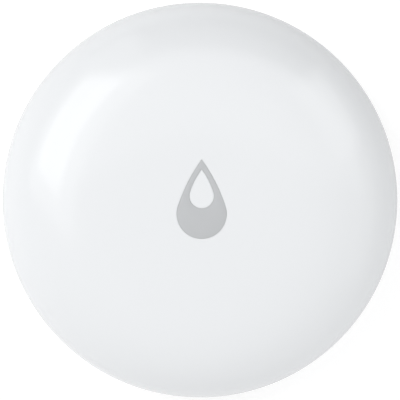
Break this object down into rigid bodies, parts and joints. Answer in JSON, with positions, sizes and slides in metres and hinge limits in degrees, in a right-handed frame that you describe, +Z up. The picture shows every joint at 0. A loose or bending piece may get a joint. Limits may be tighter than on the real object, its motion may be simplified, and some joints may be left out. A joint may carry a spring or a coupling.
{
  "type": "water leak sensor",
  "caption": "Round domed floor puck that senses water across metal probes under it; its press-down cap bears a drop mark and works a sealed switch.",
  "frame": {"origin": "on the floor under the centre of the puck", "axes": "+Z up out of the crown, +Y towards the tip of the drop, +X towards the right-hand probe"},
  "size_m": [0.05, 0.05, 0.015],
  "materials": {
    "cap_white": "smooth satin gloss",
    "mark_grey": "flat inlay",
    "base_white": "fine moulded texture",
    "chassis_white": "moulded",
    "silicone": "soft",
    "dark_silicone": "soft",
    "probe_steel": "turned and polished",
    "insert_brass": "turned",
    "board_green": "solder mask",
    "small_steel": "stamped",
    "cell_steel": "rolled and polished",
    "holder_black": "moulded",
    "contact_nickel": "plated",
    "switch_grey": "moulded",
    "chip_black": "moulded",
    "antenna_gold": "gold flash",
    "led_cream": "cast",
    "guide_clear": "clear moulded",
    "capacitor_tan": "ceramic"
  },
  "bodies": {
    "base": {"base_cover": "base_white", "base_gasket": "silicone", "chassis": "chassis_white", "cap_seal": "silicone", "probe_screw_left": "probe_steel", "probe_screw_right": "probe_steel", "probe_seal_left": "dark_silicone", "probe_seal_right": "dark_silicone", "probe_insert_left": "insert_brass", "probe_insert_right": "insert_brass", "circuit_board": "board_green", "board_screws": "small_steel", "coin_cell": "cell_steel", "cell_holder": "holder_black", "positive_contact": "contact_nickel", "negative_contact": "contact_nickel", "switch_body": "switch_grey", "switch_cover": "small_steel", "switch_terminals": "contact_nickel", "snap_dome": "small_steel", "radio_chip": "chip_black", "memory_chip": "chip_black", "crystal": "small_steel", "antenna": "antenna_gold", "status_led": "led_cream", "light_guide": "guide_clear", "chip_capacitors": "capacitor_tan", "chip_resistors": "chip_black"},
    "press_cap": {"cap": "cap_white", "drop_mark": "mark_grey"},
    "plunger": {"switch_plunger": "holder_black"}
  },
  "joints": [
    {"name": "cap_press", "type": "slide", "parent": "base", "child": "press_cap", "axis": [0, 0, -1], "range_m": [0, 0.0003], "stiffness_N_per_m": 4000, "springref_m": -0.0002},
    {"name": "plunger_press", "type": "slide", "parent": "base", "child": "plunger", "axis": [0, 0, -1], "range_m": [0, 0.0003], "deforming": ["snap_dome"]}
  ],
  "couplings": [
    {"joint": "plunger_press", "follows": "cap_press", "ratio": 1}
  ]
}
